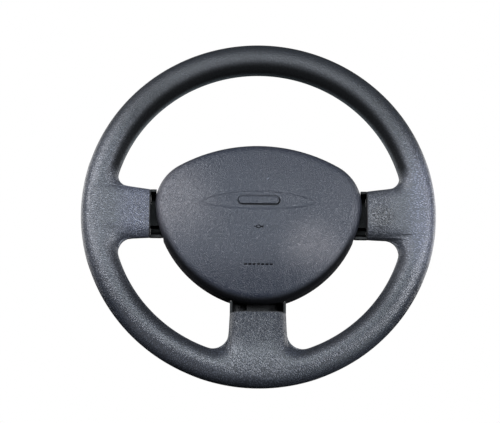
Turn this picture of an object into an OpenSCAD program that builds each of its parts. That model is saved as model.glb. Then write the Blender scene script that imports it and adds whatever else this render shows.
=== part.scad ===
// Car steering wheel with three spokes, a foam rim and a centre pad that is the horn button.
// Sizes are in millimetres. The wheel stands upright, as the driver sees it:
// X is to the right, Y runs away from the driver along the column, and Z is up.
// The origin is the middle of the hub's rear face, where the column's end comes in.
// Pieces are drawn flat, x right, y up and z towards the driver, and upright() turns them.

/* [Rim] */
// Outer diameter of the rim
rim_d = 370; // [350:1:400]
// Thickness of the round foam grip
grip_t = 32.7; // [30:0.1:35]
// Height of the rim's plane above the hub's rear face
dish = 75; // [73:0.5:80]
// Diameter of the steel ring inside the grip
core_d = 12; // [8:0.5:14]

/* [Spokes] */
// Height of a side spoke at its inner end
side_h = 51.6; // [46:0.2:56]
// Angle at which each edge of a side spoke widens outwards
side_flare = 4.6; // [2:0.1:6]
// Distance from the axis to the inner end of a side spoke's foam
side_end = 113; // [111:0.5:118]
// Radius of the fillet above a side spoke
side_top_fillet = 11; // [6:0.5:14]
// Radius of the fillet below a side spoke
side_low_fillet = 15.5; // [8:0.5:18]
// Width of the bottom spoke at its inner end
bottom_w = 58; // [50:0.5:64]
// Angle at which each edge of the bottom spoke widens outwards
bottom_flare = 2.6; // [1:0.1:6]
// Distance from the axis to the inner end of the bottom spoke's foam
bottom_end = 106; // [104:0.5:112]
// Radius of the fillets beside the bottom spoke
bottom_fillet = 16; // [10:0.5:20]
// Thickness of the spokes' foam at their inner ends
spoke_t = 28; // [26:0.5:32]
// Width over which a spoke's long edges are rounded
spoke_round = 11; // [8:0.5:13]
// How far the inner ends lie behind the rim's plane
spoke_drop = 5.8; // [4:0.2:7]
// Rounding of the foam's cut ends
end_round = 2.5; // [1:0.1:4]

/* [Pad] */
// Height of the pad's top above the axis
pad_top = 74; // [72:0.5:78]
// Radius of the arc along the pad's top
pad_top_r = 167; // [150:1:190]
// Radius of the pad's upper corners
pad_corner_r = 49; // [46:0.5:54]
// Radius of the pad's lower sides
pad_side_r = 121; // [115:1:130]
// Direction in which the top arc turns into the upper corner
pad_corner_from = 60; // [57:0.5:63]
// Direction in which the upper corner turns into the lower side
pad_side_from = -10.5; // [-14:0.5:-8]
// Direction in which the lower side turns into the bottom arc
pad_bottom_from = -66; // [-70:0.5:-62]
// Wall of the pad cover
pad_wall = 3; // [2:0.1:3.5]
// Width of the rounding around the pad's front
pad_round = 12; // [8:0.5:16]
// Rise of the pad's face from its rounding to its middle
pad_crown = 8; // [5:0.5:10]
// How far the pad's widest outline lies behind the rim's plane
pad_setback = 3; // [2:0.5:4]
// Depth of the pad's side wall behind its widest outline
skirt_h = 18; // [14:0.5:19]
// Height of the middle of the lens-shaped recess above the axis
recess_y = 10.3; // [5:0.1:20]
// Length of that recess
recess_l = 117; // [80:1:130]
// Height of that recess
recess_h = 19; // [12:0.5:24]
// Depth of that recess
recess_depth = 0.8; // [0.4:0.1:1.2]
// Length of the blank raised bar in the recess
bar_l = 42; // [20:1:60]
// Height of that bar
bar_h = 8; // [5:0.5:11]

/* [Hub] */
// Outer diameter of the steel hub insert
hub_d = 32; // [30:0.5:36]
// Length of the hub insert
hub_l = 22; // [18:0.5:24]
// Diameter of the plain bore that centres the column
pilot_d = 18.5; // [18.2:0.1:20]
// Length of that bore
pilot_l = 8; // [5:0.5:10]
// Diameter over the teeth of the serrated bore
serration_d = 17.6; // [17:0.1:18]
// Number of serrations
serrations = 36; // [24:1:48]
// Diameter of the casting's disc
disc_d = 108; // [100:1:112]
// Thickness of that disc
disc_t = 9; // [7:0.5:11]
// Width of the casting's arms
arm_w = 23; // [18:1:24]
// Thickness of the arms where they climb
arm_t = 7; // [6:0.5:7.5]
// Thickness of the arms where they enter the foam
bar_t = 6; // [4:0.5:7]

/* [Horn] */
// How far the pad moves when the horn is pressed
horn_travel = 2.5; // [1.5:0.1:2.5]
// Distance from the axis to the guide screws, springs and contacts
guide_r = 50; // [49:0.5:50.5]
// Height of the towers that carry the guide screws
tower_top = 33; // [30:0.5:35]
// Diameter of the guide screws' shoulder
shoulder_d = 8; // [7:0.2:9]
// Length of that shoulder
shoulder_l = 18; // [17:0.5:18.5]
// Thickness of the horn plate
plate_t = 1.5; // [1:0.1:2]
// Outer diameter of the horn plate
plate_d = 122; // [118:1:124]
// Wire diameter of the horn springs
spring_wire = 1.4; // [1:0.1:1.6]
// Turns of each horn spring
spring_turns = 5; // [4:1:5]

/* [Airbag module] */
// Distance from the axis to the two module bolts
bolt_r = 52; // [51:0.5:53]
// Diameter of the inflator's body
inflator_d = 64; // [60:0.5:65]
// Length of the inflator's body
inflator_l = 30; // [26:0.5:32]
// Distance from the axis to the four studs
stud_r = 40; // [39:0.5:41]
// Sheet thickness of the tray, the retainer and the inflator's flange
sheet_t = 1.5; // [1:0.1:2]
// How far the tray lies inside the pad's outline
tray_inset = 24; // [23:0.5:25]
// Height of the tray's upturned edge
tray_edge = 10; // [8:0.5:12]

/* [Rear shroud] */
// Wall of the rear shroud
shroud_t = 2.5; // [2:0.1:2.8]
// Diameter of the shroud's rear end
shroud_rear_d = 120; // [118:1:124]
// How far that end reaches behind the hub's rear face
shroud_lap = 4; // [2:0.5:6]
// Diameter of the opening for the column
shroud_hole_d = 60; // [50:1:62]

/* [Hidden] */
$fn = 48;

// Clearances: between foam or casting and what it is moulded round, between parts that pass
// each other as the horn is pressed, and between a screw and its hole
mould_gap = 0.05;
travel_gap = 0.3;
hole_gap = 0.1;

// Length of a cutter that reaches right through the pad
far = 0.8 * dish;

// Directions of the spokes, the guide screws, the contacts beside them and the bolts
spoke_dirs = [0, 180, 270];
guide_dirs = [90, 210, 330];
contact_dirs = [105, 225, 315];
bolt_dirs = [30, 150];
stud_dirs = [45, 135, 225, 315];
shroud_screw_dirs = [45, 135, 240];
shroud_screw_r = 38;

// Rim
grip_r = grip_t / 2;
rim_r = rim_d / 2;
ring_r = rim_r - grip_r;
rim_in_r = rim_r - grip_t;
spoke_mid = dish - spoke_drop;
spoke_back = spoke_mid - spoke_t / 2;

// Levels of the casting
disc_z = 4;
disc_top = disc_z + disc_t;
bar_low = spoke_back + shroud_t + 0.6;
bar_high = bar_low + bar_t;

// Levels of the horn plate, counted up the guide screws
head_low = tower_top + shoulder_l;
head_t = 3;
head_d = 14;
bush_flange_t = 1.5;
plate_z = head_low - 2.5 - plate_t;
contact_head_t = 1.2;
contact_top = plate_z - contact_head_t - horn_travel - travel_gap;

// Levels of the airbag module: the tray clears the guide screws' heads as the horn is pressed
flange_z = head_low + head_t + horn_travel + 1;
tray_z = flange_z + sheet_t;
tray_top = tray_z + sheet_t;
inflator_z = flange_z - 16.5;
inflator_top = inflator_z + inflator_l;
cloth_t = 1.5;
retainer_z = tray_top + cloth_t;

// Pad levels
pad_z = dish - pad_setback;
skirt_z = pad_z - skirt_h;
notch_z = max(bar_high + horn_travel + 1.2, skirt_z + 2);
round_end = 78;

// Centres of the pad outline's arcs: top, upper corner, lower side, bottom
function way(a) = [cos(a), sin(a)];
pad_c1 = [0, pad_top - pad_top_r];
pad_c2 = pad_c1 + (pad_top_r - pad_corner_r) * way(pad_corner_from);
pad_c3 = pad_c2 + (pad_corner_r - pad_side_r) * way(pad_side_from);
pad_bottom_r = pad_side_r + pad_c3[0] / cos(pad_bottom_from);
pad_c4 = pad_c3 + (pad_side_r - pad_bottom_r) * way(pad_bottom_from);
pad_mid = [0, -8];

// A point of the right half of the pad's outline, moved inwards by t; a is where it faces
function half_outline(a, t) =
    a >= pad_corner_from ? pad_c1 + (pad_top_r - t) * way(a) :
    a >= pad_side_from ? pad_c2 + (pad_corner_r - t) * way(a) :
    a >= pad_bottom_from ? pad_c3 + (pad_side_r - t) * way(a) :
    pad_c4 + (pad_bottom_r - t) * way(a);
function between(a, b, n) = [for (k = [0 : n - 1]) a + (b - a) * k / n];
function facing() = concat(between(-90, pad_bottom_from, 4),
    between(pad_bottom_from, pad_side_from, 12), between(pad_side_from, pad_corner_from, 12),
    between(pad_corner_from, 90, 9), [90]);
function outline(t) = let (a = facing(), n = len(a)) concat(
    [for (k = [0 : n - 1]) half_outline(a[k], t)],
    [for (k = [n - 2 : -1 : 1]) let (p = half_outline(a[k], t)) [-p[0], p[1]]]);
// The place on the whole outline that faces the direction a
function outline_at(a, t) = a > 90 ?
    let (p = half_outline(180 - a, t)) [-p[0], p[1]] : half_outline(a, t);

module upright() { rotate([90, 0, 0]) children(); }
module around(dirs, r) { for (a = dirs) rotate([0, 0, a]) translate([r, 0, 0]) children(); }
module tube(od, id, z, h) {
    translate([0, 0, z]) difference() {
        cylinder(d = od, h = h);
        translate([0, 0, -1]) cylinder(d = id, h = h + 2);
    }
}

// A solid from rings of equally many points, each ring lying above the one before
module stack_rings(rings) {
    n = len(rings[0]);
    m = len(rings);
    points = [for (r = rings, p = r) p];
    sides = [for (k = [0 : m - 2], i = [0 : n - 1])
        [k * n + i, (k + 1) * n + i, (k + 1) * n + (i + 1) % n, k * n + (i + 1) % n]];
    low = [for (i = [0 : n - 1]) i];
    high = [for (i = [n - 1 : -1 : 0]) (m - 1) * n + i];
    polyhedron(points = points, faces = concat(sides, [low, high]), convexity = 6);
}

// The pad's form moved inwards by t, from the level z up to its face
module pad_form(t, z) {
    steps = 5;
    domes = 5;
    round_r = pad_round - t;
    function ring(pts, h) = [for (p = pts) [p[0], p[1], h]];
    rounding = [for (k = [0 : steps]) let (a = round_end * k / steps)
        ring(outline(t + round_r * (1 - cos(a))), pad_z + round_r * sin(a))];
    rim = outline(t + round_r * (1 - cos(round_end)));
    rim_z = pad_z + round_r * sin(round_end);
    dome = [for (k = [1 : domes]) let (s = 1 - 0.94 * k / domes)
        ring([for (p = rim) pad_mid + s * (p - pad_mid)], rim_z + pad_crown * (1 - s * s))];
    stack_rings(concat([ring(outline(t), z)], rounding, dome));
}

// The grip's rounded section. The loop has twice sides_n corners, half of them on the front,
// and its flats touch the true curve
sides_n = 12;
corner_k = 1 / cos(90 / sides_n);

function smooth(x) = let (c = min(max(x, 0), 1)) c * c * (3 - 2 * c);
// From 0 at the spokes' inner ends to 1 at the rim
function rimness(p) = smooth((norm(p) - bottom_end) / (rim_in_r - bottom_end));
function round_w(p) = spoke_round + (grip_r - spoke_round) * rimness(p);
function half_t(p) = spoke_t / 2 + (grip_r - spoke_t / 2) * rimness(p);
function mid_z(p) = spoke_mid + spoke_drop * rimness(p);
// Share of the full thickness at the distance d from an edge that is rounded over w
function share(d, w) = sqrt(max(corner_k ^ 2 - (1 - min(max(d, 0) / w, 1)) ^ 2, 0)) / corner_k;
// Distance to a window with a corner of radius r, from the distances to its two sides
function corner(u, v, r) = norm([max(u + r, 0), max(v + r, 0)]) + min(max(u + r, v + r), 0) - r;

// A spoke's edge: a place on it at the inner end, the way it runs, the way its window lies
side_top_edge = [[side_end, side_h / 2], way(side_flare), way(side_flare + 90)];
side_low_edge = [[side_end, -side_h / 2], way(-side_flare), way(-side_flare - 90)];
bottom_edge = [[bottom_w / 2, -bottom_end], way(bottom_flare - 90), way(bottom_flare)];
function behind(p, e) = -(p - e[0]) * e[2];

function grip_half(p) = let (
    q = [abs(p[0]), p[1]],
    u = norm(q) - rim_in_r,
    w = round_w(q),
    top = corner(u, behind(q, side_top_edge), side_top_fillet),
    low = corner(u, behind(q, side_low_edge), side_low_fillet),
    foot = corner(u, behind(q, bottom_edge), bottom_fillet),
    window = q[1] > 0 ? top : max(low, foot),
    past_end = abs(q[1]) < side_h / 2 + 6 ? q[0] - side_end :
        q[1] < 0 && q[0] < bottom_w / 2 + 6 ? -q[1] - bottom_end : end_round,
    cut = end_round * (1 - sqrt(1 - (1 - min(max(past_end / end_round, 0), 1)) ^ 2)),
    full = half_t(q) * corner_k * share(rim_r - norm(q), grip_r) * share(window, w))
    max(full - cut, half_t(q) * share(0, 1));

// Inner boundary of one half of a spoke, from the middle of its end out to the rim
function spoke_half(mid, e, r) = let (
    reach = e[2] * e[0] + r,
    c = reach * e[2] + sqrt((rim_in_r - r) ^ 2 - reach ^ 2) * e[1],
    touch = c - r * e[2],
    hw = norm(e[0] - mid),
    w = spoke_round,
    fs = [0, (hw - w) / 2, hw - w, hw - w / 2, hw - 0.13 * w, hw] / hw,
    a0 = atan2(-e[2][1], -e[2][0]),
    turn = atan2(c[1], c[0]) - a0,
    a1 = a0 + (turn > 180 ? turn - 360 : turn < -180 ? turn + 360 : turn))
    concat([for (f = fs) [mid + f * (e[0] - mid), 1]],
        [for (k = [1 : 3]) [e[0] + (touch - e[0]) * k / 3, 0]],
        [for (k = [1 : 6]) [c + r * way(a0 + (a1 - a0) * k / 6), 0]]);

// Stations of one spoke half: inner point, outer point, whether it lies on the cut end
function fan(mid, e, r) = let (
    pts = spoke_half(mid, e, r), n = len(pts) - 1,
    axis = atan2(mid[1], mid[0]),
    last = atan2(pts[n][0][1], pts[n][0][0]))
    [for (k = [0 : n]) [pts[k][0], rim_r * way(axis + (last - axis) * k / n), pts[k][1]]];
function dir_of(p) = atan2(p[1], p[0]);
function arc_stations(a, b) = let (n = ceil(abs(b - a) / 5))
    [for (k = [1 : n - 1]) let (d = way(a + (b - a) * k / n)) [rim_in_r * d, rim_r * d, 0]];

function stations() = let (
    foot = fan([0, -bottom_end], bottom_edge, bottom_fillet),
    low = fan([side_end, 0], side_low_edge, side_low_fillet),
    top = fan([side_end, 0], side_top_edge, side_top_fillet),
    n = len(top) - 1,
    right = concat(foot, arc_stations(dir_of(foot[n][0]), dir_of(low[n][0])),
        [for (k = [n : -1 : 1]) low[k]], top, arc_stations(dir_of(top[n][0]), 90),
        [[[0, rim_in_r], [0, rim_r], 0]]),
    m = len(right))
    concat(right, [for (k = [m - 2 : -1 : 1]) let (s = right[k])
        [[-s[0][0], s[0][1]], [-s[1][0], s[1][1]], s[2]]]);

// One station's loop: along the front from the outside in, and back along the rear
function grip_loop(s) = let (
    inner = s[0], outer = s[1],
    l = norm(inner - outer), d = (inner - outer) / l,
    w_in = s[2] == 1 ? end_round : round_w(inner),
    spare = l - grip_r - w_in,
    pts = [for (i = [0 : sides_n - 1]) let (
        a = 180 * (i + 0.5) / sides_n,
        at = grip_r - (a < 90 ? grip_r : w_in) * corner_k * cos(a)
            + spare * min(max((i - sides_n / 2 + 2) / 3, 0), 1))
        outer + at * d],
    front = [for (p = pts) [p[0], p[1], mid_z(p) + grip_half(p)]],
    back = [for (i = [sides_n - 1 : -1 : 0]) let (p = pts[i])
        [p[0], p[1], mid_z(p) - grip_half(p)]])
    concat(front, back);

module grip_form() {
    loops = [for (s = stations()) grip_loop(s)];
    n = len(loops);
    m = 2 * sides_n;
    faces = [for (j = [0 : n - 1], i = [0 : m - 1]) let (k = (j + 1) % n, h = (i + 1) % m)
        [j * m + i, j * m + h, k * m + h, k * m + i]];
    polyhedron(points = [for (l = loops, p = l) p], faces = faces, convexity = 10);
}

// The steel ring in the grip, larger by g for the room that it takes in foam and casting
module core_ring(g) {
    translate([0, 0, dish]) rotate_extrude($fn = 96) translate([ring_r, 0])
        circle(r = core_d / 2 + g, $fn = 32);
}

// How steeply the shroud's wall climbs beside a spoke, from its rear end to its front edge
shroud_inset = 6;
shroud_front = spoke_back + 1.8;
pad_half_w = pad_c2[0] + pad_corner_r;
pad_low = pad_bottom_r - pad_c4[1];
function edge_of(a) = (a == 270 ? pad_low : pad_half_w) - shroud_inset;
function climb(a) = (shroud_front + shroud_lap) / (edge_of(a) - shroud_rear_d / 2);

// An arm of the casting, from the disc up past the shroud's wall and round the ring in the
// foam, with the casting's wall round the ring and the room that the arm leaves to the shroud
core_wall = 2.5;
arm_room = 5.4;
module arm(a, g) {
    s = climb(a);
    lean = sqrt(1 + 1 / s ^ 2);
    end = a == 270 ? bottom_end : side_end;
    foot = shroud_rear_d / 2 + (disc_z + shroud_lap) / s - shroud_t * lean - arm_room;
    knee = foot + (bar_low - disc_z) / s;
    inside = arm_t * lean;
    eye = core_d / 2 + core_wall + g;
    profile = [[hub_d / 2 + 4, disc_z], [foot, disc_z], [knee, bar_low - g],
        [end + 12, bar_low - g], [ring_r - core_d, dish - eye], [ring_r + eye, dish - eye],
        [ring_r + eye, dish + eye], [ring_r - core_d, dish + eye],
        [end + 8, bar_high + g], [knee - inside + bar_t / s, bar_high + g],
        [foot - inside + disc_t / s, disc_top], [hub_d / 2 + 4, disc_top]];
    rotate([0, 0, a]) translate([0, arm_w / 2 + g, 0]) rotate([90, 0, 0])
        linear_extrude(height = arm_w + 2 * g) polygon(profile);
}

module rim_grip() {
    color([0.25, 0.27, 0.31]) upright() difference() {
        grip_form();
        core_ring(mould_gap);
        for (a = spoke_dirs) arm(a, mould_gap);
    }
}

module rim_core() {
    color([0.45, 0.45, 0.46]) upright() core_ring(0);
}

// Dimensions that the casting shares with what is screwed to it
tower_d = 15;
thread_d = 6;
thread_l = 15;
contact_d = 4;
contact_shank = 5.5;
pillar_d = 9;
shroud_screw_d = 5;
hub_flange_d = 48;
hub_flange_z = disc_z + 3;
hub_flange_t = 4;

module armature() {
    // The towers and pillars stand a little inside the disc's edge, on a step above its rear face
    tower_foot = disc_z + 1;
    color([0.2, 0.2, 0.21]) upright() difference() {
        union() {
            translate([0, 0, disc_z]) cylinder(d = disc_d, h = disc_t, $fn = 96);
            translate([0, 0, disc_z]) cylinder(d = hub_flange_d + 6, h = disc_t + 5);
            for (a = spoke_dirs) arm(a, 0);
            around(guide_dirs, guide_r)
                translate([0, 0, tower_foot]) cylinder(d = tower_d, h = tower_top - tower_foot);
            around(contact_dirs, guide_r) translate([0, 0, tower_foot])
                cylinder(d = pillar_d, h = contact_top - contact_head_t - tower_foot);
        }
        core_ring(mould_gap);
        cylinder(d = hub_d + 2 * mould_gap, h = hub_l + 20);
        translate([0, 0, hub_flange_z - mould_gap])
            cylinder(d = hub_flange_d + 2 * mould_gap, h = hub_flange_t + 2 * mould_gap);
        around(guide_dirs, guide_r) translate([0, 0, tower_top - thread_l - 1])
            cylinder(d = thread_d + hole_gap, h = thread_l + 2);
        around(contact_dirs, guide_r)
            translate([0, 0, contact_top - contact_head_t - contact_shank - 1])
            cylinder(d = contact_d + hole_gap, h = contact_shank + 2);
        around(shroud_screw_dirs, shroud_screw_r)
            translate([0, 0, disc_z - 1]) cylinder(d = shroud_screw_d + hole_gap, h = disc_t + 7);
        around(bolt_dirs, bolt_r) translate([0, 0, disc_z - 1])
            cylinder(d = bolt_head_d + 6, h = disc_t + 2);
    }
}

module hub_insert() {
    tooth = 0.5;
    n = 2 * serrations;
    star = [for (k = [0 : n - 1])
        (serration_d / 2 - (k % 2) * tooth) * way(360 * k / n)];
    color([0.62, 0.63, 0.64]) upright() difference() {
        union() {
            cylinder(d = hub_d, h = hub_l);
            translate([0, 0, hub_flange_z]) cylinder(d = hub_flange_d, h = hub_flange_t);
        }
        translate([0, 0, -1]) cylinder(d = pilot_d, h = pilot_l + 1);
        translate([0, 0, pilot_l - 1]) linear_extrude(height = hub_l) polygon(star);
    }
}

// The shroud's bowl, as a solid: from a round rear end to the pad's outline
module bowl(rear_d, z0, inset, z1) {
    hull() {
        translate([0, 0, z0]) cylinder(d = rear_d, h = 0.1, $fn = 64);
        translate([0, 0, z1 - 0.1]) linear_extrude(height = 0.1) polygon(outline(inset));
    }
}

// Section of a spoke's rear half at its inner end, narrower by t all round, up to the level z
function spoke_section(hw, t, z) = let (
    right = [for (k = [0 : 6]) let (a = 15 * k)
        [hw - t - (spoke_round - t) * (1 - cos(a)), spoke_mid - (spoke_t / 2 - t) * sin(a)]])
    concat([[hw - t, z]], right, [for (k = [6 : -1 : 0]) [-right[k][0], right[k][1]]],
        [[t - hw, z]]);
trough_top = spoke_mid + 2.8;
// Gaps round a trough: to the foam's cut end, and to the pad that moves past it
trough_gap = 0.2;
pad_gap = 1.5;
module trough(a, t, z, more) {
    hw = (a == 270 ? bottom_w : side_h) / 2;
    from = edge_of(a) - shroud_t - 1;
    to = (a == 270 ? bottom_end : side_end) - trough_gap;
    rotate([0, 0, a]) translate([from - more, 0, 0]) rotate([90, 0, 90])
        linear_extrude(height = to - from + 2 * more) polygon(spoke_section(hw, t, z));
}

module rear_shroud() {
    boss_d = 14;
    head_room = 11;
    boss_top = disc_z - mould_gap;
    color([0.1, 0.1, 0.11]) upright() difference() {
        union() {
            difference() {
                union() {
                    bowl(shroud_rear_d, -shroud_lap, shroud_inset, shroud_front);
                    for (a = spoke_dirs) trough(a, 0, trough_top, 0);
                }
                bowl(shroud_rear_d - 2 * shroud_t, shroud_t - shroud_lap,
                    shroud_inset + 1.2 * shroud_t, shroud_front + 1);
                for (a = spoke_dirs) trough(a, shroud_t, trough_top + 1, 1);
                translate([0, 0, bar_high - 2]) linear_extrude(height = 40)
                    polygon(outline(-pad_gap));
            }
            around(shroud_screw_dirs, shroud_screw_r) translate([0, 0, -shroud_lap])
                cylinder(d = boss_d, h = boss_top + shroud_lap);
        }
        translate([0, 0, -shroud_lap - 1])
            cylinder(d = shroud_hole_d, h = shroud_t + 2, $fn = 96);
        around(shroud_screw_dirs, shroud_screw_r) {
            translate([0, 0, -shroud_lap - 1])
                cylinder(d = shroud_screw_d + 2 * hole_gap, h = boss_top + shroud_lap + 2);
            translate([0, 0, -shroud_lap - 1]) cylinder(d = head_room, h = shroud_lap + 1);
        }
        around(bolt_dirs, bolt_r) translate([0, 0, -shroud_lap - 1])
            cylinder(d = bolt_head_d + 3, h = shroud_t + 2);
    }
}

module shroud_screws() {
    color([0.3, 0.3, 0.32]) upright() around(shroud_screw_dirs, shroud_screw_r) {
        difference() {
            translate([0, 0, -3]) cylinder(d = 9, h = 3);
            translate([0, 0, -4]) cylinder(d = 4.5, h = 3, $fn = 6);
        }
        cylinder(d = shroud_screw_d, h = disc_top - 1);
    }
}

module guide_screws() {
    color([0.7, 0.68, 0.55]) upright() around(guide_dirs, guide_r) {
        translate([0, 0, tower_top - thread_l]) cylinder(d = thread_d, h = thread_l);
        translate([0, 0, tower_top]) cylinder(d = shoulder_d, h = shoulder_l);
        difference() {
            translate([0, 0, head_low]) cylinder(d = head_d, h = head_t);
            translate([0, 0, head_low + 1]) cylinder(d = 5.8, h = head_t, $fn = 6);
        }
    }
}

// A coil spring from z0 to z1 as one swept wire
module coil(mean_r, wire, z0, z1, turns) {
    sides = 6;
    per_turn = 16;
    n = turns * per_turn;
    rise = z1 - z0 - wire;
    rings = [for (k = [0 : n]) let (
        a = 360 * k / per_turn,
        z = z0 + wire / 2 + rise * smooth((k / n - 0.5) * 1.12 + 0.5),
        s = (k == 0 || k == n) ? 0.6 : 1)
        [for (i = [0 : sides - 1]) let (b = 360 * i / sides, r = mean_r + s * wire / 2 * cos(b))
            [r * cos(a), r * sin(a), z + s * wire / 2 * sin(b)]]];
    m = len(rings);
    faces = [for (k = [0 : m - 2], i = [0 : sides - 1]) let (h = (i + 1) % sides)
        [k * sides + i, (k + 1) * sides + i, (k + 1) * sides + h, k * sides + h]];
    first = [for (i = [0 : sides - 1]) i];
    last = [for (i = [sides - 1 : -1 : 0]) (m - 1) * sides + i];
    polyhedron(points = [for (r = rings, p = r) p], faces = concat(faces, [first, last]),
        convexity = 10);
}

spring_mean_r = shoulder_d / 2 + spring_wire / 2 + 1.6;
module horn_springs() {
    color([0.75, 0.75, 0.77]) upright() around(guide_dirs, guide_r)
        coil(spring_mean_r, spring_wire, tower_top, plate_z - bush_flange_t, spring_turns);
}

// A contact rivet: a head, and a shank away from it; up is 1 for a head on top
module contact(z, up) {
    shank = up > 0 ? contact_shank : plate_t;
    translate([0, 0, up > 0 ? z - contact_head_t : z]) cylinder(d = 7, h = contact_head_t);
    translate([0, 0, up > 0 ? z - contact_head_t - shank : z + contact_head_t])
        cylinder(d = contact_d, h = shank);
}
module fixed_contacts() {
    color([0.78, 0.62, 0.32]) upright() around(contact_dirs, guide_r) contact(contact_top, 1);
}
module moving_contacts() {
    color([0.78, 0.62, 0.32]) upright() around(contact_dirs, guide_r) {
        contact(plate_z - contact_head_t, -1);
        translate([0, 0, plate_z + plate_t]) cylinder(d = 6, h = 0.8);
    }
}

// The bushes insulate the horn plate and slide on the guide screws' shoulders
bush_d = 12.8;
bush_flange_d = 17;
bush_head_d = 15;
module guide_bushes() {
    color([0.86, 0.84, 0.76]) upright() around(guide_dirs, guide_r) difference() {
        union() {
            translate([0, 0, plate_z - bush_flange_t])
                cylinder(d = bush_flange_d, h = bush_flange_t);
            translate([0, 0, plate_z]) cylinder(d = bush_d, h = head_low - plate_z);
            translate([0, 0, plate_z + plate_t])
                cylinder(d = bush_head_d, h = head_low - plate_z - plate_t);
        }
        translate([0, 0, plate_z - bush_flange_t - 1])
            cylinder(d = shoulder_d + hole_gap, h = head_low - plate_z + bush_flange_t + 2);
    }
}

// Place of the tray's hook, which passes through the horn plate below the inflator
hook_r = 57;
hook_w = 16;
bolt_d = 6;
bolt_head_d = 10;
module horn_plate() {
    color([0.6, 0.6, 0.58]) upright() difference() {
        translate([0, 0, plate_z]) cylinder(d = plate_d, h = plate_t, $fn = 96);
        translate([0, 0, plate_z - 1]) {
            cylinder(d = inflator_d + 12, h = plate_t + 2, $fn = 96);
            around(guide_dirs, guide_r) cylinder(d = bush_d + hole_gap, h = plate_t + 2);
            around(contact_dirs, guide_r) cylinder(d = contact_d + hole_gap, h = plate_t + 2);
            around(bolt_dirs, bolt_r) cylinder(d = bolt_d + 0.6, h = plate_t + 2);
            rotate([0, 0, 270]) translate([hook_r - 0.3, -hook_w / 2 - 0.3, 0])
                cube([sheet_t + 0.6, hook_w + 0.6, plate_t + 2]);
        }
    }
}

// Blade terminal under the horn plate
terminal_dir = 240;
module horn_terminal() {
    blade_t = 0.8;
    blade_w = 6.3;
    blade_l = 8;
    color([0.8, 0.66, 0.36]) upright() rotate([0, 0, terminal_dir]) {
        translate([guide_r - 5, -4, plate_z - blade_t]) cube([10, 8, blade_t]);
        translate([guide_r + 5 - blade_t, -blade_w / 2, plate_z - blade_t - blade_l])
            cube([blade_t, blade_w, blade_l]);
    }
}

module module_bolts() {
    washer_t = 1.2;
    head_h = 3;
    color([0.35, 0.35, 0.36]) upright() around(bolt_dirs, bolt_r) {
        translate([0, 0, plate_z - washer_t]) cylinder(d = bolt_head_d + 2, h = washer_t);
        difference() {
            translate([0, 0, plate_z - washer_t - head_h]) cylinder(d = bolt_head_d, h = head_h);
            translate([0, 0, plate_z - washer_t - head_h - 1])
                cylinder(d = 5, h = 3, $fn = 6);
        }
        translate([0, 0, plate_z]) cylinder(d = bolt_d, h = 9);
    }
}

foot_z = plate_z + plate_t;
weld_nut_h = 5;
module weld_nuts() {
    color([0.66, 0.66, 0.64]) upright() around(bolt_dirs, bolt_r) difference() {
        translate([0, 0, foot_z + sheet_t]) cylinder(d = 11.5, h = weld_nut_h, $fn = 6);
        translate([0, 0, foot_z]) cylinder(d = bolt_d + hole_gap, h = weld_nut_h + 3);
    }
}

// The tray that holds the cushion, with two feet and a hook down to the horn plate
module module_tray() {
    foot_w = 14;
    foot_in = 46.5;
    foot_out = bolt_r + 8;
    color([0.55, 0.55, 0.56]) upright() difference() {
        union() {
            translate([0, 0, tray_z]) linear_extrude(height = sheet_t)
                polygon(outline(tray_inset));
            difference() {
                translate([0, 0, tray_z]) linear_extrude(height = tray_edge + sheet_t)
                    polygon(outline(tray_inset));
                translate([0, 0, tray_z - 1]) linear_extrude(height = tray_edge + 4)
                    polygon(outline(tray_inset + sheet_t));
            }
            around(bolt_dirs, 0) {
                translate([foot_in, -foot_w / 2, foot_z])
                    cube([foot_out - foot_in, foot_w, sheet_t]);
                translate([foot_out - sheet_t, -foot_w / 2, foot_z])
                    cube([sheet_t, foot_w, tray_z - foot_z + 0.5]);
            }
            rotate([0, 0, 270]) {
                translate([hook_r, -hook_w / 2, plate_z - sheet_t])
                    cube([sheet_t, hook_w, tray_z - plate_z + sheet_t + 0.5]);
                translate([hook_r - 6, -hook_w / 2, plate_z - sheet_t])
                    cube([6 + sheet_t / 2, hook_w, sheet_t]);
            }
        }
        translate([0, 0, tray_z - 1]) {
            cylinder(d = inflator_d + 1, h = sheet_t + 2, $fn = 96);
            around(stud_dirs, stud_r) cylinder(d = stud_d + 0.4, h = sheet_t + 2);
        }
        around(bolt_dirs, bolt_r) translate([0, 0, foot_z - 1])
            cylinder(d = bolt_d + 0.6, h = sheet_t + 2);
        for (a = rivet_dirs) rivet_hole(a);
    }
}

stud_d = 6;
flange_d = 2 * (stud_r + stud_d);
module inflator() {
    r = inflator_d / 2;
    soft = 4;
    profile = [[0, inflator_z], [r - soft, inflator_z], [r - 1, inflator_z + 1.2],
        [r, inflator_z + soft], [r, flange_z], [flange_d / 2, flange_z],
        [flange_d / 2, flange_z + sheet_t], [r, flange_z + sheet_t],
        [r, inflator_top - soft], [r - 1, inflator_top - 1.2], [r - soft, inflator_top],
        [0, inflator_top]];
    vents = 12;
    color([0.68, 0.69, 0.7]) upright() difference() {
        rotate_extrude($fn = 96) polygon(profile);
        around(stud_dirs, stud_r) translate([0, 0, flange_z - 1])
            cylinder(d = stud_d + 0.4, h = sheet_t + 2);
        translate([0, 0, inflator_z - 1]) cylinder(d = socket_d + hole_gap, h = socket_in + 1);
        for (k = [0 : vents - 1]) rotate([0, 0, 15 + 360 * k / vents])
            translate([r - 3, 0, inflator_top - 7]) rotate([0, 90, 0]) cylinder(d = 3, h = 5);
    }
}

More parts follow.
